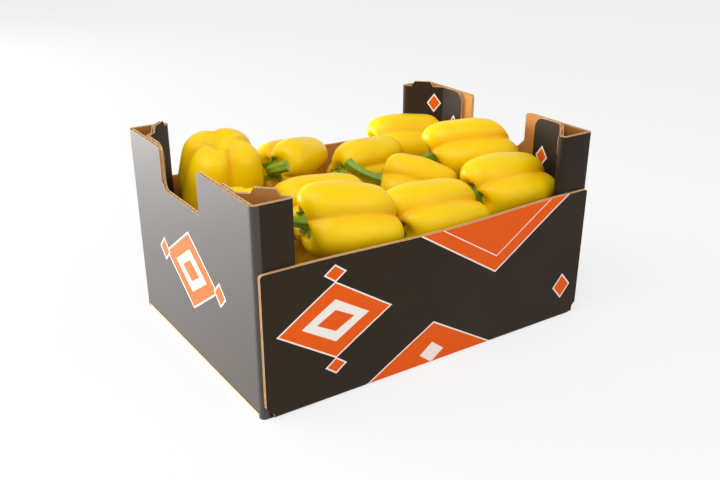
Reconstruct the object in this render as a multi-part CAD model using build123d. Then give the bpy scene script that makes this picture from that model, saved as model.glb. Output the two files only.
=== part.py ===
from build123d import *
import os
from math import cos, pi, sin

# Carton of corrugated board, outside sizes in millimetres. Origin: centre of the underside.
# +X runs along the long side, the front side panel faces -Y, +Z is up.
carton_length = 400.0
carton_width = 290.0
board = 4.0
glue_press = 0.3
post_height = 210.0
side_height = 148.0
side_length = 394.0
fold_radius = 3.0
foot_height = 6.0
post_foot = 0.5
side_bow = 7.0
side_corner_radius = 3.0
side_foot_chamfer = 8.0

# Corner columns: post face behind the side panel, diagonal wall, flap glued inside the end panel
post_width = 41.0
column_depth = 44.0
flap_edge_y = 64.0
flap_fold_y = 95.0
flap_corner_radius = 12.0

# Stacking tab on each diagonal wall, and the slot for the tab of the carton below
tab_height = 6.0
tab_length = 26.0
tab_slope = 3.0
slot_clearance = 1.5

# Hand notch in each end panel, as places across the panel
notch_floor = 167.0
notch_lip_radius = 4.0
left_notch = {"near": -31.0, "far": 57.0, "near_chamfer": 0.5, "far_chamfer": 7.0}
right_notch = {"near": -45.0, "far": 49.0, "near_chamfer": 11.0, "far_chamfer": 7.0}

# Pepper fruit: stations from the blossom end to the stalk seat.
# Each is height over half length, radius over half width, share of the full groove.
fruit_stations = [
    (-0.84, 0.12, 0.1),
    (-1.00, 0.44, 1.0),
    (-0.93, 0.68, 1.0),
    (-0.72, 0.87, 0.85),
    (-0.30, 0.96, 0.65),
    (0.20, 1.00, 0.6),
    (0.62, 0.98, 0.65),
    (0.90, 0.84, 0.85),
    (1.00, 0.58, 1.0),
    (0.87, 0.28, 0.0),
]
lower_fruit_stations = [
    (-0.84, 0.15, 0.2),
    (-1.00, 0.48, 1.0),
    (-0.74, 0.87, 0.85),
    (-0.10, 0.98, 0.6),
    (0.72, 0.96, 0.7),
    (1.00, 0.58, 1.0),
    (0.87, 0.28, 0.0),
]
seat_height = 0.87
groove_depth = 0.24
groove_sharpness = 0.6
points_per_lobe = 6
lower_points_per_lobe = 4

# Stalk: a five-ribbed stem that rises from a star-shaped calyx and flares at its cut end.
# Each station is share of the stem's length, radius in millimetres. Stems below short_stem are stubs.
stem_stations = [(0.0, 8.5), (0.12, 6.2), (0.35, 4.7), (0.85, 5.2), (1.0, 6.4)]
stub_stations = [(0.0, 7.0), (1.0, 5.6)]
short_stem = 12.0
stem_ribs = 5
rib_height = 0.07
calyx_thickness = 1.6
calyx_tip = 9.4
calyx_notch = 7.6

# Upper layer, as it lies in the photo: centre x, y, z, heading and rise of the stalk end in degrees,
# roll, length, width, depth, lobes, stem length, stem bend and its direction in degrees
upper_layer = [
    (-124, 83, 154, 80, -64, 20, 90, 100, 98, 4, 18, 20, 0),
    (-30, 92, 149, -130, -10, 45, 82, 80, 78, 4, 38, 60, -90),
    (49, 57, 141, 172, 15, 70, 82, 76, 74, 4, 15, 30, 0),
    (138, 92, 146, 152, 0, 70, 90, 78, 76, 4, 20, 20, 90),
    (-147, -3, 130, 90, -86, 5, 82, 78, 78, 4, 5, 20, 0),
    (-60, -14, 142, 170, 0, 70, 92, 76, 74, 4, 5, 20, 0),
    (60, -23, 141, 142, 18, 70, 80, 70, 68, 4, 50, 40, 90),
    (146, -9, 163, 150, -8, 70, 88, 76, 74, 4, 24, 40, 180),
    (-78, -98, 157, 168, 6, 70, 92, 82, 80, 4, 24, 30, 0),
    (24, -100, 141, 180, 0, 70, 100, 80, 78, 4, 9, 20, 0),
    (127, -94, 148, 180, 0, 70, 96, 82, 80, 4, 8, 20, 0),
]

# Lower layer, standing on the base in four columns and three rows: length and width of each
lower_columns = [-140.0, -47.0, 47.0, 140.0]
lower_rows = [-91.0, 0.0, 91.0]
lower_lengths = [98.0, 98.0, 93.0, 98.0, 78.0, 96.0, 96.0, 108.0, 90.0, 98.0, 94.0, 98.0]
lower_width = 84.0
lower_stem = 6.0
lower_gap = 0.3

half_length = carton_length / 2
half_width = carton_width / 2
half_board = board / 2
post_y = half_width - board - half_board + glue_press
end_x = half_length - half_board
flap_x = end_x - board + glue_press
wall_foot_y = half_width - column_depth
fold_outside = fold_radius + half_board + 1
end_foot_y = half_width - board - fold_outside


def save(shape, name):
    shape.label = name
    export_step(shape, "parts/" + name + ".step")


def strip(points):
    # a band of board along a folded path, as a flat section
    return trace(FilletPolyline(*points, radius=fold_radius), board)


# Tray: one folded blank
def base_plate():
    size = (2 * (half_length - fold_outside), 2 * (half_width - fold_outside), board)
    return Pos(0, 0, half_board) * Box(*size)


def side_foot(side):
    # the fold between the base and a side panel
    y = half_width - half_board
    path = [(half_width - fold_outside, half_board), (y, half_board), (y, foot_height)]
    section = Plane.YZ * strip([(side * across, up) for across, up in path])
    return extrude(section, side_length / 2 - side_foot_chamfer, both=True)


def end_foot(side):
    # the fold between the base and an end panel
    path = [(half_length - fold_outside, half_board), (end_x, half_board), (end_x, foot_height)]
    section = Plane.XZ * strip([(side * across, up) for across, up in path])
    return extrude(section, end_foot_y, both=True)


def end_wrap(side):
    # end panel with its post faces and diagonal walls, seen from above
    corner = (half_length - post_width, -post_y)
    wall_foot = (flap_x, -wall_foot_y)
    wall_middle = ((corner[0] + wall_foot[0]) / 2, (corner[1] + wall_foot[1]) / 2)
    front = [wall_middle, corner, (end_x, -post_y)]
    back = [(x, -y) for x, y in reversed(front)]
    height = post_height - post_foot
    wrap = Pos(0, 0, post_foot) * extrude(strip(front + back), height)
    fold = Pos(0, 0, post_foot) * extrude(strip([wall_middle, wall_foot, (flap_x, -flap_fold_y)]), height)
    wrap = wrap + fold + mirror(fold, Plane.XZ)
    room = Pos(half_length, 0, 0) * Box(2 * fold_outside, 2 * end_foot_y, 2 * foot_height)
    wrap = wrap - room
    return wrap if side > 0 else mirror(wrap, Plane.YZ)


def glued_flap(side, sy):
    # the last flap of the blank, glued flat inside the end panel, with one round corner
    width = flap_fold_y - flap_edge_y
    height = post_height - board
    sheet = Pos(sy * (flap_edge_y + width / 2), board + height / 2) * Rectangle(width, height)
    free = sheet.vertices().sort_by_distance((sy * flap_edge_y, post_height))[0]
    sheet = fillet(free, flap_corner_radius)
    return Pos(side * flap_x, 0, 0) * extrude(Plane.YZ * sheet, half_board, both=True)


def diagonal_place(sx, sy):
    # centre of a diagonal wall and the direction along it
    a = Vector(sx * (half_length - post_width), sy * post_y)
    b = Vector(sx * flap_x, sy * wall_foot_y)
    along = (b - a).normalized()
    middle = (a + b) * 0.5
    return middle, along


def stacking_tab(sx, sy):
    middle, along = diagonal_place(sx, sy)
    half = tab_length / 2
    outline = Polyline(
        (-half, -1),
        (half, -1),
        (half, 0),
        (half - tab_slope, tab_height),
        (-half + tab_slope, tab_height),
        (-half, 0),
        close=True,
    )
    place = Plane(origin=(middle.X, middle.Y, post_height), x_dir=along, z_dir=along.cross(Vector(0, 0, 1)))
    return extrude(place * make_face(outline), half_board, both=True)


def stacking_slot(sx, sy):
    middle, along = diagonal_place(sx, sy)
    place = Plane(origin=(middle.X, middle.Y, 0), x_dir=along, z_dir=(0, 0, 1))
    size = tab_length + 2 * slot_clearance
    return place * Box(size, board + 2 * slot_clearance, 2 * (tab_height + board))


def hand_notch(side, notch):
    near, far = notch["near"], notch["far"]
    low, high = notch_floor, post_height + 10
    lip = notch_lip_radius
    outline = Polyline(
        (near, low + notch["near_chamfer"]),
        (near + notch["near_chamfer"], low),
        (far - notch["far_chamfer"], low),
        (far, low + notch["far_chamfer"]),
        (far, post_height - lip),
        (far + lip, post_height),
        (far + lip, high),
        (near - lip, high),
        (near - lip, post_height),
        (near, post_height - lip),
        close=True,
    )
    face = Plane.YZ * make_face(outline)
    return Pos(side * (half_length - board), 0, 0) * extrude(face, board + 6, both=True)


def side_panel(side):
    # the upper part of a side panel: glued flat to both posts and bowed between them
    glued = half_length - post_width
    reach = side_length / 2
    faces = []
    for z, bow in ((foot_height, 0.0), (side_height, side_bow)):
        edges = []
        for y in (-half_width, -half_width + board):
            first = Line((-reach, y, z), (-glued, y, z))
            middle = Spline((-glued, y, z), (0, y - bow, z), (glued, y, z), tangents=[(1, 0, 0), (1, 0, 0)])
            last = Line((glued, y, z), (reach, y, z))
            edges.append([first, middle, last])
        ends = [Line((x, -half_width, z), (x, -half_width + board, z)) for x in (-reach, reach)]
        faces.append(make_face(edges[0] + edges[1] + ends))
    panel = loft(faces, ruled=True)
    height = side_height - foot_height
    trim = Pos(0, foot_height + height / 2) * Rectangle(side_length, height)
    corners = trim.vertices().sort_by(Axis.Y)
    trim = chamfer(corners[:2], side_foot_chamfer)
    trim = fillet(trim.vertices().sort_by(Axis.Y)[-2:], side_corner_radius)
    window = extrude(Plane.XZ * trim, half_width + 20, both=True)
    panel = panel & window
    return panel if side < 0 else mirror(panel, Plane.XZ)


def make_tray():
    tray = base_plate()
    for side in (-1, 1):
        tray = tray + side_foot(side) + end_foot(side)
        tray = tray + end_wrap(side) + side_panel(side)
    for sx in (-1, 1):
        for sy in (-1, 1):
            tray = tray + glued_flap(sx, sy) + stacking_tab(sx, sy)
            tray = tray - stacking_slot(sx, sy)
    tray = tray - hand_notch(-1, left_notch)
    tray = tray - hand_notch(1, right_notch)
    return tray


# Peppers
def facet_solid(rings):
    # closed solid through rings of points, each with as many points as the next
    faces = [Face(Wire.make_polygon(rings[0])), Face(Wire.make_polygon(rings[-1]))]
    for low, high in zip(rings, rings[1:]):
        for i in range(len(low)):
            j = (i + 1) % len(low)
            faces.append(Face(Wire.make_polygon([low[i], low[j], high[j]])))
            faces.append(Face(Wire.make_polygon([low[i], high[j], high[i]])))
    return Solid(Shell(faces))


def fruit(size, stations, points):
    length, width, depth, lobes = size
    rings = []
    count = lobes * points
    for height, radius, groove in stations:
        ring = []
        for i in range(count):
            turn = 2 * pi * i / count
            crest = (cos(lobes * turn / 2) ** 2) ** groove_sharpness
            r = radius * (1 - groove_depth * groove * (1 - crest))
            ring.append((r * cos(turn) * width / 2, r * sin(turn) * depth / 2, height * length / 2))
        rings.append(ring)
    return facet_solid(rings)


def star(tip, notch):
    # ten points around, on the ribs and between them
    ring = []
    for i in range(2 * stem_ribs):
        turn = pi * i / stem_ribs
        r = notch if i % 2 else tip
        ring.append((r * cos(turn), r * sin(turn)))
    return ring


def stalk(stem, bend, heading):
    # calyx on the seat, then the stem along an arc
    calyx = extrude(make_face(Polyline(*star(calyx_tip, calyx_notch), close=True)), calyx_thickness)
    angle = bend * pi / 180
    rings = []
    for share, radius in stub_stations if stem < short_stem else stem_stations:
        a = angle * share
        x = stem / angle * (1 - cos(a))
        z = stem / angle * sin(a) + calyx_thickness * 0.5
        ring = star(radius * (1 + rib_height), radius * (1 - rib_height))
        rings.append([(x + u * cos(a), v, z - u * sin(a)) for u, v in ring])
    return Rot(0, 0, heading) * (calyx + facet_solid(rings))


def lay(shape, x, y, z, heading, rise, roll):
    # turns the fruit's axis from +Z to its heading and rise, about its own centre
    return Pos(x, y, z) * Rot(0, 0, heading) * Rot(0, 90 - rise, 0) * Rot(0, 0, 90 + roll) * shape


def make_pepper(number, body, place, length, stem):
    save(lay(body, *place), "pepper_%02d" % number)
    seat = Pos(0, 0, seat_height * length / 2)
    top = lay(seat * stalk(*stem), *place)
    save(top, "stalk_%02d" % number)


def make_peppers():
    number = 0
    for row in upper_layer:
        number += 1
        body = fruit(row[6:10], fruit_stations, points_per_lobe)
        make_pepper(number, body, row[0:6], row[6], row[10:13])
    index = 0
    for y in lower_rows:
        for x in lower_columns:
            length = lower_lengths[index]
            index += 1
            number += 1
            place = (x, y, board + lower_gap + length / 2, 0, 90, 30 * index)
            size = (length, lower_width, lower_width, 4)
            body = fruit(size, lower_fruit_stations, lower_points_per_lobe)
            make_pepper(number, body, place, length, (lower_stem, 50, 45 * index))


os.makedirs("parts", exist_ok=True)
save(make_tray(), "tray")
make_peppers()
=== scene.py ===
from functools import reduce
from math import acos, atan2, cos, pi, radians, sin, sqrt, tan
from random import Random

import bmesh
import bpy
from mathutils import Matrix, Vector, noise
from mathutils.bvhtree import BVHTree


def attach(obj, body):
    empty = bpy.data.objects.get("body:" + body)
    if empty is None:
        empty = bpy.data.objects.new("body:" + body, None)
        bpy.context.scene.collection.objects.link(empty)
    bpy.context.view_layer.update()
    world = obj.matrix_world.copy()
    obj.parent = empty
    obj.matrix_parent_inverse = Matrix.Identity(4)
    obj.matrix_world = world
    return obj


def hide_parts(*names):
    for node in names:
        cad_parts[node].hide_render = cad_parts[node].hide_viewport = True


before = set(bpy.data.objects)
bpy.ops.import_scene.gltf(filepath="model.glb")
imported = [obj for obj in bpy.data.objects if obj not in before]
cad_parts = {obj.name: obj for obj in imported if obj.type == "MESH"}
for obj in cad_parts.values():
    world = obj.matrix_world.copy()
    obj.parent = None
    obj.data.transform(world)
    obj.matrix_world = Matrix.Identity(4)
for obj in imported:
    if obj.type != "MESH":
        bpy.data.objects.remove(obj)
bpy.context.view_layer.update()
mm = 0.001
print("frame loaded,", len(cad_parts), "nodes")


# Camera, floor and light
view = {
    "place": (-0.49786, -0.75200, 0.46804),  # worked out from the carton's corners
    "azimuth": -33.57,
    "elevation": 25.02,
    "lens": 44.0,
    "sensor": 36,
    "shiftY": 0.0417,
}

studio = {
    "floorSize": 8.0,
    "floorWhite": 0.80,
    "floorGlow": 0.75,  # share of plain white that the camera sees, the rest is light and shadow
    "floorRoughness": 0.9,
    "sky": 0.42,
    "lamps": [
        # name, place, what it faces, width, height, watts
        ("topLeft", (-1.1, -0.5, 1.9), (0, 0, 0.1), 1.6, 1.6, 30),
        ("leftBack", (-1.35, 1.5, 0.28), (-0.2, 0, 0.12), 1.8, 0.54, 74),
        ("frontFill", (0.9, -2.0, 1.3), (0, 0, 0.1), 1.6, 1.4, 12),
    ],
}


def rgb(red, green, blue):
    # a colour as a screen shows it, made linear
    def linear(part):
        share = part / 255
        return share / 12.92 if share <= 0.04045 else ((share + 0.055) / 1.055) ** 2.4
    return (linear(red), linear(green), linear(blue), 1.0)


class Value:
    # wraps a socket, so that shader maths reads as plain sums
    def __init__(self, finish, socket):
        self.finish = finish
        self.socket = socket

    def maths(self, operation, first, second):
        return self.finish.node("Math", {"operation": operation}, {0: first, 1: second})

    def __add__(self, other):
        return self.maths("ADD", self, other)

    def __radd__(self, other):
        return self.maths("ADD", other, self)

    def __sub__(self, other):
        return self.maths("SUBTRACT", self, other)

    def __rsub__(self, other):
        return self.maths("SUBTRACT", other, self)

    def __mul__(self, other):
        return self.maths("MULTIPLY", self, other)

    def __rmul__(self, other):
        return self.maths("MULTIPLY", other, self)

    def __truediv__(self, other):
        return self.maths("DIVIDE", self, other)

    def __pow__(self, other):
        return self.maths("POWER", self, other)

    def __abs__(self):
        return self.finish.node("Math", {"operation": "ABSOLUTE"}, {0: self})

    def least(self, other):
        return self.maths("MINIMUM", self, other)

    def most(self, other):
        return self.maths("MAXIMUM", self, other)

    def step(self, width):
        # 0 to 1 over width, centred where the value crosses zero
        settings = {"operation": "MULTIPLY_ADD", "use_clamp": True}
        return self.finish.node("Math", settings, {0: self, 1: 1 / width, 2: 0.5})


class Nodes:
    # a node tree: node() makes any node and returns its output
    def __init__(self, tree):
        self.tree = tree

    def feed(self, socket, value):
        if isinstance(value, Value):
            self.tree.links.new(value.socket, socket)
        else:
            socket.default_value = value

    def node(self, kind, settings=None, values=None, output=0):
        made = self.tree.nodes.new("ShaderNode" + kind)
        for name, value in (settings or {}).items():
            setattr(made, name, value)
        for name, value in (values or {}).items():
            self.feed(made.inputs[name], value)
        return Value(self, made.outputs[output])

    def seen(self):
        # 1 where the camera looks at it, straight or in a gloss or through glass
        rays = [self.node("LightPath", output=i) for i in (0, 3, 6)]
        return (rays[0] + rays[1] + rays[2]).least(1)

    def white(self, kind, strength):
        return self.node(kind, {}, {"Color": (1, 1, 1, 1), "Strength": strength})


class Finish(Nodes):
    # one material: set() gives the shader its values and links
    def __init__(self, name, **sockets):
        self.material = bpy.data.materials.new(name)
        self.material.use_nodes = True
        super().__init__(self.material.node_tree)
        self.shader = self.tree.nodes["Principled BSDF"]
        self.set(**sockets)

    def set(self, **sockets):
        for name, value in sockets.items():
            self.feed(self.shader.inputs[name.replace("_", " ")], value)

    def mix(self, share, first, second):
        return self.node("Mix", {"data_type": "RGBA"}, {0: share, 6: first, 7: second}, 2)

    def place(self):
        return self.node("TexCoord", output=3)

    def attribute(self, name, output):
        return self.node("Attribute", {"attribute_name": name}, output=output)

    def grain(self, where, scale, detail=2.0, roughness=0.5):
        values = {"Vector": where, "Scale": scale, "Detail": detail, "Roughness": roughness}
        return self.node("TexNoise", {}, values)

    def stretched(self, where, x, y, z):
        return self.node("VectorMath", {"operation": "MULTIPLY"}, {0: where, 1: (x, y, z)})

    def part(self, vector, axis):
        # one coordinate of a vector, 0 for X to 2 for Z
        return self.node("SeparateXYZ", {}, {0: vector}, axis)

    def bump(self, height, strength, distance):
        values = {"Height": height, "Strength": strength, "Distance": distance}
        self.set(Normal=self.node("Bump", {}, values))


def makeCamera():
    data = bpy.data.cameras.new("camera")
    data.lens = view["lens"]
    data.sensor_width = view["sensor"]
    data.shift_y = view["shiftY"]
    camera = bpy.data.objects.new("camera", data)
    a, e = radians(view["azimuth"]), radians(view["elevation"])
    back = Vector((sin(a) * cos(e), -cos(a) * cos(e), sin(e)))
    camera.location = view["place"]
    camera.rotation_mode = "QUATERNION"
    camera.rotation_quaternion = (-back).to_track_quat("-Z", "Y")
    bpy.context.scene.collection.objects.link(camera)
    bpy.context.scene.camera = camera


def makeLamps():
    for name, place, target, width, height, watts in studio["lamps"]:
        data = bpy.data.lights.new(name, "AREA")
        data.shape = "RECTANGLE"
        data.size = width
        data.size_y = height
        data.energy = watts
        lamp = bpy.data.objects.new(name, data)
        lamp.location = place
        lamp.rotation_mode = "QUATERNION"
        lamp.rotation_quaternion = (Vector(target) - Vector(place)).to_track_quat("-Z", "Y")
        bpy.context.scene.collection.objects.link(lamp)


def makeSky():
    world = bpy.data.worlds.new("sky")
    world.use_nodes = True
    bpy.context.scene.world = world
    sky = Nodes(world.node_tree)
    light = sky.white("Background", studio["sky"])
    shown = sky.white("Background", 1)
    mixed = sky.node("MixShader", {}, {0: sky.seen(), 1: light, 2: shown})
    sky.feed(sky.tree.nodes["World Output"].inputs["Surface"], mixed)


def makeFloor():
    white = studio["floorWhite"]
    paint = Finish("floorPaint", Base_Color=(white, white, white, 1))
    paint.set(Roughness=studio["floorRoughness"], Specular_IOR_Level=0.0)
    plain = Value(paint, paint.shader.outputs[0])
    shown = paint.white("Emission", 1)
    mixed = paint.node("MixShader", {}, {0: paint.seen() * studio["floorGlow"], 1: plain, 2: shown})
    paint.feed(paint.tree.nodes["Material Output"].inputs["Surface"], mixed)
    bm = bmesh.new()
    bmesh.ops.create_grid(bm, x_segments=1, y_segments=1, size=studio["floorSize"] / 2)
    mesh = bpy.data.meshes.new("floor")
    bm.to_mesh(mesh)
    bm.free()
    mesh.materials.append(paint.material)
    ground = bpy.data.objects.new("floor", mesh)
    bpy.context.scene.collection.objects.link(ground)


bpy.context.scene.view_settings.view_transform = "Standard"
makeCamera()
makeLamps()
makeSky()
makeFloor()
print("camera, floor and light done")


# Shared by all pieces
def finishPiece(name, bm, finishes, nodes, crease):
    # the mesh is in millimetres: it gets its shading, its finishes and its place on the frame
    bmesh.ops.scale(bm, vec=(mm, mm, mm), verts=bm.verts)
    for face in bm.faces:
        face.smooth = True
    for edge in bm.edges:
        edge.smooth = edge.calc_face_angle(0) < radians(crease)
    mesh = bpy.data.meshes.new(name)
    bm.to_mesh(mesh)
    bm.free()
    for finish in finishes:
        mesh.materials.append(finish.material)
    piece = bpy.data.objects.new(name, mesh)
    bpy.context.scene.collection.objects.link(piece)
    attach(piece, "root")
    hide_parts(*nodes)


# Tray of folded corrugated board, sizes in millimetres
tray = {
    "halfLength": 200,
    "halfWidth": 145,
    "board": 4,
    "gluePress": 0.3,
    "postHeight": 210,
    "sideHeight": 148,
    "sideReach": 197,
    "sideFootChamfer": 8,
    "sideCornerRadius": 3,
    "sideBow": 7,
    "sideSteps": 24,  # faces along a side panel, which the bow bends
    "footHeight": 6,
    "postFoot": 0.5,
    "postFootReach": 10,  # how far the post's lower foot goes round the corner
    "foldRadius": 3,
    "foldFlat": 1,  # flat stretch of an end fold where it meets the base
    "postWidth": 44,  # 3 more than in the construction, as the photo shows it
    "columnDepth": 44,
    "flapEdge": 64,
    "flapCornerRadius": 12,
    "tabHeight": 6,
    "tabLength": 26,
    "tabSlope": 3,
    "slotClearance": 1.5,
    "slotSearch": 60,  # faces within this of a slot's middle are cut
    "notchFloor": 167,
    "notchLip": 4,
    "crease": 50,  # degrees from which an edge is sharp
}
notches = {
    "left": {"near": -31, "far": 57, "nearChamfer": 0.5, "farChamfer": 7},
    "right": {"near": -45, "far": 49, "nearChamfer": 11, "farChamfer": 7},
}
paper = {
    "flutePitch": 7.9,
    "stepsPerFlute": 8,
    "liner": 0.45,
    "medium": 0.3,
    "sink": 0.25,  # how far the wavy medium ends below the liners' cut edge
    "edgeStep": 0.02,  # the width over which an outline jumps
}
endX = tray["halfLength"] - tray["board"] / 2
flapX = endX - tray["board"] + tray["gluePress"]
postY = tray["halfWidth"] - 1.5 * tray["board"] + tray["gluePress"]
wallFootY = tray["halfWidth"] - tray["columnDepth"]
cornerX = tray["halfLength"] - tray["postWidth"]
foldRoom = tray["foldRadius"] + tray["board"] / 2 + tray["foldFlat"]


class Fold:
    # a strip's centre line: straight runs joined by round folds
    def __init__(self, corners, radius):
        self.runs = []
        self.length = 0.0
        here = Vector(corners[0])
        for i in range(1, len(corners)):
            heading = self.heading(corners[i - 1], corners[i])
            straight = (Vector(corners[i]) - here).length
            turn = 0.0
            if i < len(corners) - 1:
                turn = self.heading(corners[i], corners[i + 1]) - heading
                turn = (turn + pi) % (2 * pi) - pi
                straight -= radius * tan(abs(turn) / 2)
            self.addRun(here, heading, straight, 0.0)
            here = self.at(self.length)[0]
            if turn:
                bend = 1 / radius if turn > 0 else -1 / radius
                self.addRun(here, heading, abs(turn) * radius, bend)
                here = self.at(self.length)[0]

    def heading(self, a, b):
        return atan2(b[1] - a[1], b[0] - a[0])

    def addRun(self, start, heading, length, bend):
        self.runs.append((self.length, start, heading, length, bend))
        self.length += length

    def at(self, distance):
        # the point there, and the direction to the printed side
        run = [r for r in self.runs if r[0] <= distance + 1e-9][-1]
        start, place, heading, length, bend = run
        s = distance - start
        turned = heading + bend * s
        if bend:
            dx = (sin(turned) - sin(heading)) / bend
            dy = (cos(heading) - cos(turned)) / bend
        else:
            dx = s * cos(heading)
            dy = s * sin(heading)
        return place + Vector((dx, dy)), Vector((-sin(turned), cos(turned)))

    def stations(self, steps=6):
        # where the runs begin and end, with the folds cut into steps
        found = {0.0, self.length}
        for start, place, heading, length, bend in self.runs:
            count = steps if bend else 1
            found |= {start + length * i / count for i in range(count + 1)}
        return found

    def nearest(self, spot, stride=0.25):
        # how far along the first half of the strip a place is, whatever its signs
        def away(s):
            here = self.at(s)[0]
            return (Vector((abs(here.x), abs(here.y))) - spot).length
        return min((i * stride for i in range(int(self.length / 2 / stride))), key=away)


def lineAt(line, x):
    # the height of an outline, given as points with rising x
    for (x0, y0), (x1, y1) in zip(line, line[1:]):
        if x0 <= x <= x1:
            return y0 + (y1 - y0) * (x - x0) / max(x1 - x0, 1e-9)
    return line[0][1] if x < line[0][0] else line[-1][1]


def quarter(radius, steps):
    # a rounded corner: how far along, and how high, from minus the radius up to nothing
    turns = [pi / 2 * i / steps for i in range(steps + 1)]
    return [(radius - radius * cos(a), radius * sin(a) - radius) for a in turns]


def mirrored(line, length):
    # the same outline from the strip's other end
    return [(length - s, z) for s, z in reversed(line)]


def withFlutes(stations, length):
    # adds the places where the wavy medium is sampled
    step = paper["flutePitch"] / paper["stepsPerFlute"]
    return stations | {step * i for i in range(int(length / step) + 1)}


def apart(places):
    # sorted places without doubles
    kept = []
    for place in sorted(places):
        if not kept or place - kept[-1] > 1e-4:
            kept.append(place)
    return kept


def inOrder(items, chosen):
    # the chosen ones in the mesh's own order, so that each run gives the same mesh
    return [item for item in items if item in chosen]


def makeLayer(bm, stations, rows, low, high, bend, offset):
    # one layer of paper: a flat grid, cut to its outline and folded
    flat = bm.verts.layers.float_vector["sheet"]
    made = bmesh.ops.create_grid(bm, x_segments=len(stations) - 1, y_segments=rows, size=1)
    for v in made["verts"]:
        along = stations[round((v.co.x + 1) / 2 * (len(stations) - 1))]
        share = (v.co.y + 1) / 2
        up = low(along) + share * (high(along) - low(along))
        v[flat] = (along * mm, up * mm, 0)
        v.co = bend(along, up, offset(along))
    faces = {f for v in made["verts"] for f in v.link_faces}
    outward = bend(stations[0], 0, 1) - bend(stations[0], 0, 0)
    first = min(inOrder(bm.faces, faces), key=lambda f: sum(v[flat].x for v in f.verts))
    first.normal_update()
    if first.normal.dot(outward) < 0:
        bmesh.ops.reverse_faces(bm, faces=inOrder(bm.faces, faces))
    return faces


def thicken(bm, faces, thickness, slots):
    # the printed face, the back and the cut edge of a layer get their own finish
    front, back, cut = slots
    old = set(bm.verts)
    before = set(bm.faces) - faces
    bmesh.ops.solidify(bm, geom=inOrder(bm.faces, faces), thickness=thickness)
    for face in set(bm.faces) - before:
        fresh = [v not in old for v in face.verts]
        if all(fresh):
            face.material_index = back
        elif any(fresh):
            face.material_index = cut
        else:
            face.material_index = front


def makeBoard(bm, stations, length, rows, low, high, bend, windows=()):
    # outer liner, wavy medium and inner liner between the same outlines
    half = tray["board"] / 2
    liner, medium = paper["liner"], paper["medium"]
    wave = half - liner - medium / 2
    fluted = apart(withFlutes(stations, length))
    plain = apart(stations)

    def waved(s):
        return wave * sin(2 * pi * s / paper["flutePitch"]) + medium / 2

    layers = [
        # places, how much shorter, offset, thickness, finishes of its front, back and cut edge
        (plain, 0, lambda s: half, liner, (0, 1, 1)),
        (fluted, paper["sink"], waved, medium, (1, 1, 1)),
        (plain, 0, lambda s: -half + liner, liner, (1, 2, 1)),
    ]
    for places, shorter, offset, thickness, slots in layers:
        faces = makeLayer(
            bm, places, rows,
            lambda s: low(s) + shorter,
            lambda s: high(s) - shorter,
            bend, offset,
        )
        for window in windows:
            faces = cutWindow(bm, faces, window)
        thicken(bm, faces, thickness, slots)


def cutWindow(bm, faces, window):
    # cuts a turned rectangle through the faces near it
    centre, along, halfLength, halfWidth = window
    across = Vector((-along.y, along.x, 0))
    nearby = {f for f in faces if (f.calc_center_median() - centre).length < tray["slotSearch"]}
    for direction, reach in ((along, halfLength), (across, halfWidth)):
        for sign in (-1, 1):
            edges = {e for f in nearby for e in f.edges}
            verts = {v for f in nearby for v in f.verts}
            geom = [*inOrder(bm.faces, nearby), *inOrder(bm.edges, edges), *inOrder(bm.verts, verts)]
            place = centre + direction * reach * sign
            cut = bmesh.ops.bisect_plane(bm, geom=geom, plane_co=place, plane_no=direction)
            nearby |= {g for g in cut["geom"] if isinstance(g, bmesh.types.BMFace)}
            nearby = {f for f in nearby if f.is_valid}
    inside = [
        f for f in inOrder(bm.faces, nearby)
        if abs((f.calc_center_median() - centre).dot(along)) < halfLength
        and abs((f.calc_center_median() - centre).dot(across)) < halfWidth
    ]
    kept = {f for f in faces | nearby if f.is_valid} - set(inside)
    bmesh.ops.delete(bm, geom=inside, context="FACES")
    return kept


def newBoard():
    bm = bmesh.new()
    bm.verts.layers.float_vector.new("sheet")
    return bm


def baseSlots():
    # the slot under each diagonal wall, which takes the tab of a carton below
    halfLength = tray["tabLength"] / 2 + tray["slotClearance"]
    halfWidth = tray["board"] / 2 + tray["slotClearance"]
    found = []
    for sx in (-1, 1):
        for sy in (-1, 1):
            a = Vector((sx * cornerX, sy * postY, 0))
            b = Vector((sx * flapX, sy * wallFootY, 0))
            found.append(((a + b) / 2, (b - a).normalized(), halfLength, halfWidth))
    return found


def notchLine(notch, height):
    # outline of the hand notch and the panel's top, across the panel
    floorZ = tray["notchFloor"]
    lip = tray["notchLip"]
    step = paper["edgeStep"]
    near, far = notch["near"], notch["far"]
    corner = [(lip - along, up) for along, up in reversed(quarter(lip, 4))][1:]
    line = [(near - lip, height)]
    line += [(near - lip + across - step, height + drop) for across, drop in corner]
    line.append((near, floorZ + notch["nearChamfer"]))
    line.append((near + notch["nearChamfer"], floorZ))
    line.append((far - notch["farChamfer"], floorZ))
    line.append((far, floorZ + notch["farChamfer"]))
    line += [(far + lip - across + step, height + drop) for across, drop in reversed(corner)]
    line.append((far + lip, height))
    return line


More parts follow.
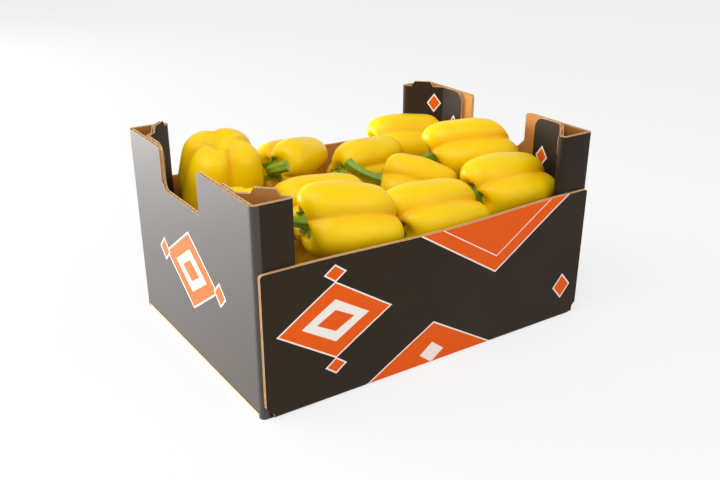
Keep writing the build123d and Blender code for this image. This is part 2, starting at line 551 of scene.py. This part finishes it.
def makeWrap(name, side, notch, finishes):
    # end panel, posts, diagonal walls and glued flaps: one strip folded round the end
    front = [(-flapX, -tray["flapEdge"]), (-flapX, -wallFootY), (-cornerX, -postY), (-endX, -postY)]
    back = [(x, -y) for x, y in reversed(front)]
    path = Fold([(-side * x, -side * y) for x, y in front + back], tray["foldRadius"])
    middle = path.length / 2
    top = tray["postHeight"]

    # the outline's top, as distance along the strip and height
    half = tray["tabLength"] / 2
    slope = tray["tabSlope"]
    tab = top + tray["tabHeight"]
    firstWall = path.nearest(Vector(((cornerX + flapX) / 2, (postY + wallFootY) / 2)))
    rim = [(along, top + up) for along, up in quarter(tray["flapCornerRadius"], 6)]
    rim += [
        (firstWall - half, top),
        (firstWall - half + slope, tab),
        (firstWall + half - slope, tab),
        (firstWall + half, top),
    ]
    across = notchLine(notch, top)
    if side > 0:
        across = [(-y, z) for y, z in reversed(across)]
    line = rim + [(middle + y, z) for y, z in across] + mirrored(rim, path.length)

    # the outline's foot
    slotHalf = half + tray["slotClearance"]
    slotTop = tray["tabHeight"] + tray["board"]
    board = tray["board"]
    step = paper["edgeStep"]
    tail = tray["sideReach"] - tray["sideFootChamfer"]
    cornerAt = path.nearest(Vector((tail, postY)))
    endAt = path.nearest(Vector((endX, tray["halfWidth"] - tray["postFootReach"])))
    foot = [
        (0, board),
        (firstWall - slotHalf - step, board),
        (firstWall - slotHalf, slotTop),
        (firstWall + slotHalf, slotTop),
        (firstWall + slotHalf + step, board),
        (cornerAt - step, board),
        (cornerAt, tray["postFoot"]),
        (endAt - step, tray["postFoot"]),
        (endAt, tray["footHeight"]),
    ]
    foot += mirrored(foot, path.length)

    def bend(along, up, offset):
        place, printed = path.at(along)
        spot = place + printed * offset
        return Vector((spot.x, spot.y, up))

    stations = path.stations() | {s for s, z in line} | {s for s, z in foot}
    bm = newBoard()
    makeBoard(bm, stations, path.length, 1, lambda s: lineAt(foot, s), lambda s: lineAt(line, s), bend)
    centreSheet(bm, middle)
    addEndFold(bm, side)
    finishPiece(name, bm, finishes, ["tray"], tray["crease"])


def centreSheet(bm, middle):
    # sheet coordinates run from the panel's middle
    flat = bm.verts.layers.float_vector["sheet"]
    for v in bm.verts:
        v[flat] = v[flat] - Vector((middle * mm, 0, 0))


def addEndFold(bm, side):
    # the fold between the base and this end panel
    edge = tray["halfLength"] - foldRoom
    half = tray["board"] / 2
    corners = [(-side * edge, half), (-side * endX, half), (-side * endX, tray["footHeight"])]
    path = Fold(corners, tray["foldRadius"])
    reach = tray["halfWidth"] - tray["board"] - foldRoom

    def bend(along, up, offset):
        place, printed = path.at(along)
        spot = place + printed * offset * side
        return Vector((spot.x, up, spot.y))

    makeBoard(bm, path.stations(), path.length, 1, lambda s: -reach, lambda s: reach, bend)


def makeSides(finishes):
    # base and both side panels: one strip folded up at the front and the back
    half = tray["board"] / 2
    outer = tray["halfWidth"] - half
    top = tray["sideHeight"]
    path = Fold([(outer, top), (outer, half), (-outer, half), (-outer, top)], tray["foldRadius"])
    foot = tray["footHeight"]
    reach = tray["sideReach"]
    chamfer = tray["sideFootChamfer"]
    radius = tray["sideCornerRadius"]
    baseStart = path.runs[2][0]

    # how far the strip reaches along X, as distance along the strip
    ends = [(along, reach + up) for along, up in quarter(radius, 5)]
    ends += [
        (top - foot - chamfer, reach),
        (top - foot, reach - chamfer),
        (baseStart, reach - chamfer),
        (baseStart + paper["edgeStep"], tray["halfLength"] - foldRoom),
    ]
    ends += mirrored(ends, path.length)

    def bend(along, across, offset):
        place, printed = path.at(along)
        spot = place + printed * offset
        t = max(0.0, 1 - abs(across) / cornerX)
        lift = max(0.0, spot.y - foot) / (top - foot)
        bow = tray["sideBow"] * t * t * (3 - 2 * t) * lift
        side = 1 if spot.x > 0 else -1
        return Vector((across, spot.x + side * bow, spot.y))

    stations = path.stations() | {s for s, x in ends}
    bm = newBoard()
    makeBoard(
        bm, stations, path.length, tray["sideSteps"],
        lambda s: -lineAt(ends, s), lambda s: lineAt(ends, s), bend, baseSlots(),
    )
    centreSheet(bm, path.length / 2)
    finishPiece("sidesAndBase", bm, finishes, ["tray"], tray["crease"])


# Board finishes: printed face, cut paper edge, bare kraft
ink = {
    "dark": rgb(42, 32, 22),
    "darkWorn": rgb(51, 41, 31),
    "orange": rgb(238, 94, 16),
    "white": rgb(252, 243, 234),
    "kraft": rgb(194, 134, 62),
    "kraftDark": rgb(166, 106, 40),
    "kraftFleck": rgb(104, 66, 34),
    "edge": rgb(244, 210, 162),
    "edgeDark": rgb(206, 162, 108),
    "outline": 1.5,  # millimetres of white round an orange lozenge
    "line": 0.5,  # half the width of a thin line
    "blur": 0.25,  # the width over which one ink meets the next
    "fleckShare": 0.1,
}
varnish = {
    "roughness": 0.48,
    "streakRoughness": 0.14,
    "gloss": 0.12,
    "panelHalf": 143.5,  # the posts' faces beyond it have no coat
    "panelBlur": 2,
    "coatRoughness": 0.52,
    "coatIOR": 1.7,
    "offMotifs": 0.6,  # share of the coat that the lozenges lack
}


def lozenge(u, v, centre, width, height):
    # millimetres inside the edge of a diamond, below zero outside it
    across = abs(u - centre[0]) / width
    up = abs(v - centre[1]) / height
    return (1 - (across + up)) * (width * height / sqrt(width * width + height * height))


def printedBoard(name, motifs, upright, ribs, coat):
    # dark flood coat with lozenges: on the upright side panels they follow X and Z, else the sheet
    board = Finish(name)
    sheet = board.attribute("sheet", 1)
    place = board.place()
    u = board.part(place if upright else sheet, 0) / mm
    v = board.part(place, 2) / mm if upright else board.part(sheet, 1) / mm
    cloud = board.grain(place, 18, 3)
    speck = board.grain(place, 900, 2, 0.6)
    blur = ink["blur"]
    colour = board.mix(cloud, ink["dark"], ink["darkWorn"])
    covered = []
    for kind, centre, width, height in motifs:
        inside = lozenge(u, v, centre, width, height)
        if kind == "outlined":
            colour = board.mix(inside.step(blur), colour, ink["white"])
            colour = board.mix((inside - ink["outline"]).step(blur), colour, ink["orange"])
            covered.append(inside.step(blur))
        elif kind == "line":
            line = ink["line"] - abs(inside - ink["line"])
            colour = board.mix(line.step(blur), colour, ink["white"])
        else:
            colour = board.mix(inside.step(blur), colour, ink[kind])
    colour = board.mix((speck - 0.68).step(0.06) * ink["fleckShare"], colour, ink["kraft"])
    streaks = board.grain(board.stretched(sheet, 420, 6, 1), 1.0, 3, 0.6)
    flute = board.node("Math", {"operation": "SINE"}, {0: u * (2 * pi / paper["flutePitch"])})
    roughness = varnish["roughness"] + varnish["streakRoughness"] * streaks
    board.set(Base_Color=colour, Roughness=roughness, Specular_IOR_Level=varnish["gloss"])
    if coat:
        panel = (varnish["panelHalf"] - abs(u)).step(varnish["panelBlur"])
        duller = reduce(Value.most, covered) * varnish["offMotifs"]
        board.set(Coat_Weight=panel * coat * (1 - duller))
        board.set(Coat_Roughness=varnish["coatRoughness"], Coat_IOR=varnish["coatIOR"])
    board.bump(streaks * 0.6 + flute * ribs + speck * 0.1, 0.3, 0.0004)
    return board


def kraftBoard():
    board = Finish("kraftFace")
    place = board.place()
    fibre = board.grain(board.stretched(place, 1, 1, 0.3), 700, 4, 0.65)
    cloud = board.grain(place, 22, 3)
    fleck = board.grain(place, 1500, 1)
    colour = board.mix(cloud * 0.5 + fibre * 0.5, ink["kraftDark"], ink["kraft"])
    colour = board.mix((fleck - 0.66).step(0.05) * 0.4, colour, ink["kraftFleck"])
    board.set(Base_Color=colour, Roughness=0.78 + 0.15 * fibre)
    board.bump(fibre, 0.4, 0.0003)
    return board


def cutEdge():
    board = Finish("cutPaper", Roughness=0.9)
    fibre = board.grain(board.place(), 1400, 3, 0.7)
    board.set(Base_Color=board.mix(fibre, ink["edgeDark"], ink["edge"]))
    board.bump(fibre, 0.6, 0.0003)
    return board


# kind, centre, half width and half height of each lozenge, in millimetres
endMotifs = [
    ("outlined", (0, 98), 62, 42),
    ("white", (0, 98), 36, 23),
    ("orange", (0, 98), 20, 12),
    ("outlined", (-66, 98), 13, 13),
    ("outlined", (66, 98), 13, 13),
    ("outlined", (-215, 190), 9, 12),
    ("outlined", (215, 190), 9, 12),
    ("outlined", (-250, 168), 9, 12),
    ("outlined", (250, 168), 9, 12),
]
sideMotifs = [
    ("outlined", (70, 150), 104, 66),
    ("line", (70, 150), 78, 48),
    ("outlined", (-8, -2), 86, 52),
    ("white", (-8, 14), 15, 12),
    ("outlined", (-122, 84), 62, 40),
    ("white", (-122, 84), 36, 22),
    ("orange", (-122, 84), 20, 11),
    ("outlined", (-122, 132), 12, 9),
    ("outlined", (-122, 36), 12, 9),
    ("outlined", (172, 40), 13, 15),
]

edgePaper = cutEdge()
kraft = kraftBoard()
leftPrint = printedBoard("leftPrint", endMotifs, False, ribs=0.25, coat=0.8)
rightPrint = printedBoard("rightPrint", endMotifs, False, ribs=0.25, coat=0)
sidePrint = printedBoard("sidePrint", sideMotifs, True, ribs=0.05, coat=0)
makeWrap("leftEnd", -1, notches["left"], [leftPrint, edgePaper, kraft])
makeWrap("rightEnd", 1, notches["right"], [rightPrint, edgePaper, kraft])
makeSides([sidePrint, edgePaper, kraft])
print("tray done")


# Peppers, in millimetres: as in the construction, or a little off it where the photo shows so
upperPeppers = [
    # x, y, z, heading and rise of the stalk end, roll, length, width, depth, lobes, stem, bend, its turn
    (-124, 83, 157, 80, -74, -45, 92, 103, 100, 4, 18, 20, 0),
    (-30, 92, 152, -152, 8, 45, 82, 80, 78, 3, 50, 110, -24),
    (50, 57, 143, 192, 0, 84, 91, 76, 74, 3, 15, 30, 0),
    (136, 92, 149, 165, 0, 116, 90, 78, 76, 3, 20, 20, 90),
    (-147, -3, 130, 90, -86, 5, 82, 78, 78, 4, 5, 20, 0),
    (-60, -14, 142, 170, 0, 70, 92, 76, 74, 4, 5, 20, 0),
    (60, -23, 141, 142, 12, 95, 80, 70, 68, 3, 46, 40, 65),
    (147, -9, 165, 150, -8, 104, 90, 76, 74, 3, 24, 40, 155),
    (-78, -98, 157, 168, 6, 90, 92, 82, 80, 3, 24, 30, 0),
    (24, -100, 141, 180, 0, 107, 100, 80, 78, 3, 9, 20, 0),
    (127, -94, 148, 180, 0, 109, 96, 82, 80, 3, 8, 20, 0),
]
lobeShifts = {
    # how far each lobe reaches past the others towards the stalk, over half length
    4: (0.14, 0, -0.14),
    8: (0.18, 0, -0.18),
    9: (0.14, 0, -0.12),
    10: (0.17, 0, -0.17),
    11: (0.13, 0, -0.13),
}
lowerPeppers = {
    "columns": [-140, -47, 47, 140],
    "rows": [-91, 0, 91],
    "lengths": [98, 98, 93, 98, 78, 96, 96, 108, 90, 98, 94, 98],
    "width": 84,
    "lobes": 4,
    "rollStep": 30,  # each stands turned this much further than the one before
    "stem": 6,
    "stemBend": 50,
    "bendStep": 45,
    "gap": 0.3,
}
fruit = {
    # height over half length, radius over half width, share of the full groove
    "stations": [
        (-0.82, 0.00, 0.0),
        (-0.84, 0.10, 0.1),
        (-0.93, 0.24, 0.6),
        (-1.00, 0.46, 1.0),
        (-0.95, 0.68, 1.0),
        (-0.78, 0.85, 0.95),
        (-0.40, 0.95, 0.85),
        (0.05, 1.00, 0.8),
        (0.50, 1.00, 0.8),
        (0.80, 0.92, 0.88),
        (0.97, 0.74, 0.95),
        (1.00, 0.54, 1.0),
        (0.93, 0.38, 0.6),
        (0.87, 0.28, 0.0),
        (0.86, 0.00, 0.0),
    ],
    "lobeCentre": {3: 0.50, 4: 0.54},  # where a lobe's own centre lies in a full groove, over half width
    "twist": 0.12,
    "lobeSpread": 0.05,
    "unevenness": 1.2,
    "unevenSize": 26,
    "unevenShift": 7.3,  # moves the noise on from pepper to pepper
    "grooveTint": 3,  # how quickly a groove takes its painted shade, a darker orange
    "around": 96,
    "along": 72,
    "aroundLower": 56,
    "alongLower": 40,
    "seatHeight": 0.87,
    "crease": 80,
}
skinColour = {
    "lemon": rgb(248, 211, 0),
    "golden": rgb(244, 200, 0),
    # painted shade: the darker orange that the grooves are given
    "groove": rgb(236, 168, 0),
    "light": rgb(250, 226, 20),
    "pore": rgb(250, 232, 90),
}


def smoothThrough(rows, t):
    # a smooth curve through the rows, at t from 0 to 1
    last = len(rows) - 1
    i = min(int(t * last), last - 1)
    f = t * last - i
    a, b, c, d = (rows[max(0, min(last, i + k))] for k in (-1, 0, 1, 2))
    found = []
    for p0, p1, p2, p3 in zip(a, b, c, d):
        slope1, slope2 = (p2 - p0) / 2, (p3 - p1) / 2
        found.append(
            p1 * (2 * f**3 - 3 * f**2 + 1) + slope1 * (f**3 - 2 * f**2 + f)
            + p2 * (3 * f**2 - 2 * f**3) + slope2 * (f**3 - f**2)
        )
    return found


def layPlace(row):
    # turns a pepper's own axis from +Z to its heading and rise, about its centre
    x, y, z, heading, rise, roll = row[:6]
    turn = Matrix.Rotation(radians(heading), 4, "Z") @ Matrix.Rotation(radians(90 - rise), 4, "Y")
    return Matrix.Translation((x, y, z)) @ turn @ Matrix.Rotation(radians(90 + roll), 4, "Z")


def grooved(turn, lobes, share):
    # how far the skin stands out there: a section of joined circles, 1 on a lobe's crest, less in a groove
    which = round(turn / (2 * pi) * lobes)
    off = turn - which * 2 * pi / lobes
    centre = fruit["lobeCentre"][lobes] * share
    return centre * cos(off) + sqrt((1 - centre) ** 2 - (centre * sin(off)) ** 2)


def makePepper(number, row, around, along, finish):
    # a sphere drawn out into a lobed fruit, laid in its place
    length, width, depth, lobes = row[6:10]
    draw = Random(number)
    spread = fruit["lobeSpread"]
    lobeSizes = [1 - draw.uniform(0, 2 * spread) for i in range(lobes)]
    shifts = lobeShifts.get(number) or [draw.uniform(-spread, spread) for i in range(lobes)]
    twist = draw.uniform(-1, 1) * fruit["twist"]
    ownNoise = Vector((number * fruit["unevenShift"], 0, 0))
    bm = bmesh.new()
    groove = bm.verts.layers.float.new("groove")
    bmesh.ops.create_uvsphere(bm, u_segments=around, v_segments=along, radius=1)
    for v in bm.verts:
        down = 1 - acos(max(-1, min(1, v.co.z))) / pi
        turn = atan2(v.co.y, v.co.x)
        height, radius, share = smoothThrough(fruit["stations"], down)
        own = turn + twist * height
        crest = cos(lobes * own / 2) ** 2
        which = round(own / (2 * pi) * lobes) % lobes
        size = 1 + (lobeSizes[which] - 1) * crest
        skinOut = grooved(own, lobes, share)
        r = radius * size * skinOut
        height += shifts[which] * crest * share
        v.co = (r * cos(turn) * width / 2, r * sin(turn) * depth / 2, height * length / 2)
        # painted shade: the deeper the groove, the more the skin there is darkened to orange
        v[groove] = min(1, fruit["grooveTint"] * (1 - skinOut))
        soft = noise.noise(v.co / fruit["unevenSize"] + ownNoise)
        v.co += v.co.normalized() * soft * fruit["unevenness"] * min(1, share * 1.5)
    bmesh.ops.recalc_face_normals(bm, faces=bm.faces)
    skinTree = BVHTree.FromBMesh(bm)
    bmesh.ops.transform(bm, matrix=layPlace(row), verts=bm.verts)
    node = "pepper_%02d" % number
    finishPiece("pepper%02d" % number, bm, [finish], [node], fruit["crease"])
    return skinTree


def pepperSkin():
    # waxy yellow skin: painted shade of a darker orange in the grooves, fine pores, soft gloss
    skin = Finish("pepperSkin")
    place = skin.place()
    groove = skin.attribute("groove", 2)
    cloud = skin.grain(place, 14, 2)
    mottle = skin.grain(place, 120, 3, 0.6)
    pores = skin.grain(place, 900, 1)
    colour = skin.mix(cloud, skinColour["lemon"], skinColour["golden"])
    # painted shade: the grooves are darkened to a deeper orange
    colour = skin.mix(groove ** 2 * 0.6, colour, skinColour["groove"])
    colour = skin.mix((mottle - 0.5) * 0.25, colour, skinColour["light"])
    colour = skin.mix((pores - 0.66).step(0.05) * 0.12, colour, skinColour["pore"])
    skin.set(Base_Color=colour, Roughness=0.3 + 0.1 * mottle, Specular_IOR_Level=0.22)
    skin.bump(mottle * 0.7 + pores * 0.3, 0.12, 0.0005)
    skin.set(Subsurface_Weight=0.12, Subsurface_Radius=(0.01, 0.005, 0.001), Subsurface_Scale=1.0)
    return skin


# Stalks: a ribbed stem with a cut end that grows out of a pointed calyx
stalkShape = {
    # share of the way up the stem, radius
    "stem": [(0.0, 8.2), (0.10, 6.5), (0.28, 4.8), (0.60, 4.6), (0.88, 5.6), (1.0, 6.2)],
    "rings": 12,
    "around": 40,
    "ribs": 5,
    "ribHeight": 0.09,
    # share of the way from the stem to the calyx's rim, height over the skin: underside first
    "calyx": [
        (0.1, -1.6),
        (0.6, -1.4),
        (0.97, -1.0),
        (1.0, 0.1),
        (0.94, 0.9),
        (0.7, 1.1),
        (0.4, 1.1),
        (0.15, 1.3),
    ],
    "calyxNotch": 9.5,
    "calyxTip": 16.0,
    "stemFoot": 1.6,
    "cutInset": 1.1,
    "cutDepth": -0.5,
    "crease": 50,
}
stalkColour = {
    "deep": rgb(88, 118, 10),
    "fresh": rgb(146, 176, 26),
    "fibre": rgb(178, 200, 70),
    "cut": rgb(138, 160, 66),
    "cutPale": rgb(196, 208, 120),
}


def easedAt(points, x):
    # eased between points with rising x
    for (x0, y0), (x1, y1) in zip(points, points[1:]):
        if x <= x1 + 1e-9:
            t = (x - x0) / (x1 - x0)
            return y0 + (y1 - y0) * t * t * (3 - 2 * t)
    return points[-1][1]


def ribbed(turn):
    return 1 + stalkShape["ribHeight"] * cos(stalkShape["ribs"] * turn)


def calyxSpot(turn, share, lift, row, skinTree):
    # a place on the calyx, which follows the skin under it
    stemFoot = stalkShape["stem"][0][1] * ribbed(turn)
    point = (0.5 + 0.5 * cos(stalkShape["ribs"] * turn)) ** 1.5
    rim = stalkShape["calyxNotch"] + (stalkShape["calyxTip"] - stalkShape["calyxNotch"]) * point
    r = stemFoot + (rim - stemFoot) * share
    onFruit = turn + radians(row[12])
    above = Vector((r * cos(onFruit), r * sin(onFruit), row[6]))
    hit = skinTree.ray_cast(above, Vector((0, 0, -1)))[0]
    return Vector((r * cos(turn), r * sin(turn), hit.z - fruit["seatHeight"] * row[6] / 2 + lift))


def stemSpot(turn, share, row):
    # a place on the stem, whose centre line is an arc
    stem, bend = row[10:12]
    full = radians(bend)
    radius = easedAt(stalkShape["stem"], share) * ribbed(turn)
    centre = Vector((stem / full * (1 - cos(full * share)), 0, stem / full * sin(full * share)))
    ring = Vector((radius * cos(turn), radius * sin(turn), 0))
    return centre + Matrix.Rotation(full * share, 3, "Y") @ ring + Vector((0, 0, stalkShape["stemFoot"]))


def makeStalk(number, row, skinTree, finishes):
    # one ring drawn on from the calyx's underside over its rim to the stem's cut end
    spots = [
        lambda turn, a=share, b=lift: calyxSpot(turn, a, b, row, skinTree)
        for share, lift in stalkShape["calyx"]
    ]
    rings = stalkShape["rings"]
    spots += [lambda turn, a=i / rings: stemSpot(turn, a, row) for i in range(rings + 1)]
    bm = bmesh.new()
    ring = bmesh.ops.create_circle(bm, segments=stalkShape["around"], radius=1)["verts"]
    turnOf = {v: atan2(v.co.y, v.co.x) for v in ring}
    edges = list(bm.edges)
    bmesh.ops.edgeloop_fill(bm, edges=edges)
    for v in ring:
        v.co = spots[0](turnOf[v])
    for spot in spots[1:]:
        made = bmesh.ops.extrude_edge_only(bm, edges=edges)["geom"]
        edges = [g for g in made if isinstance(g, bmesh.types.BMEdge) and g.is_boundary]
        fresh = [g for g in made if isinstance(g, bmesh.types.BMVert)]
        below = {v: e.other_vert(v) for v in fresh for e in v.link_edges if e.other_vert(v) in turnOf}
        turnOf.update({v: turnOf[below[v]] for v in fresh})
        for v in fresh:
            v.co = spot(turnOf[v])
    cap = bmesh.ops.edgeloop_fill(bm, edges=edges)["faces"]
    bmesh.ops.recalc_face_normals(bm, faces=bm.faces)
    inset, depth = stalkShape["cutInset"], stalkShape["cutDepth"]
    rim = bmesh.ops.inset_region(bm, faces=cap, thickness=inset, depth=depth)
    for face in [*cap, *rim["faces"]]:
        face.material_index = 1
    seat = Matrix.Translation((0, 0, fruit["seatHeight"] * row[6] / 2))
    turned = Matrix.Rotation(radians(row[12]), 4, "Z")
    bmesh.ops.transform(bm, matrix=layPlace(row) @ seat @ turned, verts=bm.verts)
    node = "stalk_%02d" % number
    finishPiece("stalk%02d" % number, bm, finishes, [node], stalkShape["crease"])


def stalkGreen():
    green = Finish("stalkGreen")
    place = green.place()
    cloud = green.grain(place, 60, 3)
    fibre = green.grain(place, 500, 3, 0.6)
    colour = green.mix(cloud, stalkColour["deep"], stalkColour["fresh"])
    colour = green.mix((fibre - 0.6).step(0.1) * 0.35, colour, stalkColour["fibre"])
    green.set(Base_Color=colour, Roughness=0.4 + 0.2 * fibre)
    green.bump(fibre, 0.3, 0.0004)
    return green


def cutStem():
    pale = Finish("cutStem", Roughness=0.8)
    fibre = pale.grain(pale.place(), 700, 3, 0.7)
    pale.set(Base_Color=pale.mix(fibre, stalkColour["cut"], stalkColour["cutPale"]))
    pale.bump(fibre, 0.6, 0.0006)
    return pale


def lowerRows():
    # the peppers of the lower layer stand on their blossom ends
    spots = [(x, y) for y in lowerPeppers["rows"] for x in lowerPeppers["columns"]]
    wide = lowerPeppers["width"]
    rows = []
    for i, ((x, y), tall) in enumerate(zip(spots, lowerPeppers["lengths"]), 1):
        z = tray["board"] + lowerPeppers["gap"] + tall / 2
        body = (tall, wide, wide, lowerPeppers["lobes"])
        stem = (lowerPeppers["stem"], lowerPeppers["stemBend"], lowerPeppers["bendStep"] * i)
        rows.append((x, y, z, 0, 90, lowerPeppers["rollStep"] * i, *body, *stem))
    return rows


skin = pepperSkin()
stalkFinishes = [stalkGreen(), cutStem()]
for number, row in enumerate(upperPeppers + lowerRows(), 1):
    below = number > len(upperPeppers)
    around = fruit["aroundLower" if below else "around"]
    along = fruit["alongLower" if below else "along"]
    skinTree = makePepper(number, row, around, along, skin)
    makeStalk(number, row, skinTree, stalkFinishes)
print("peppers done")
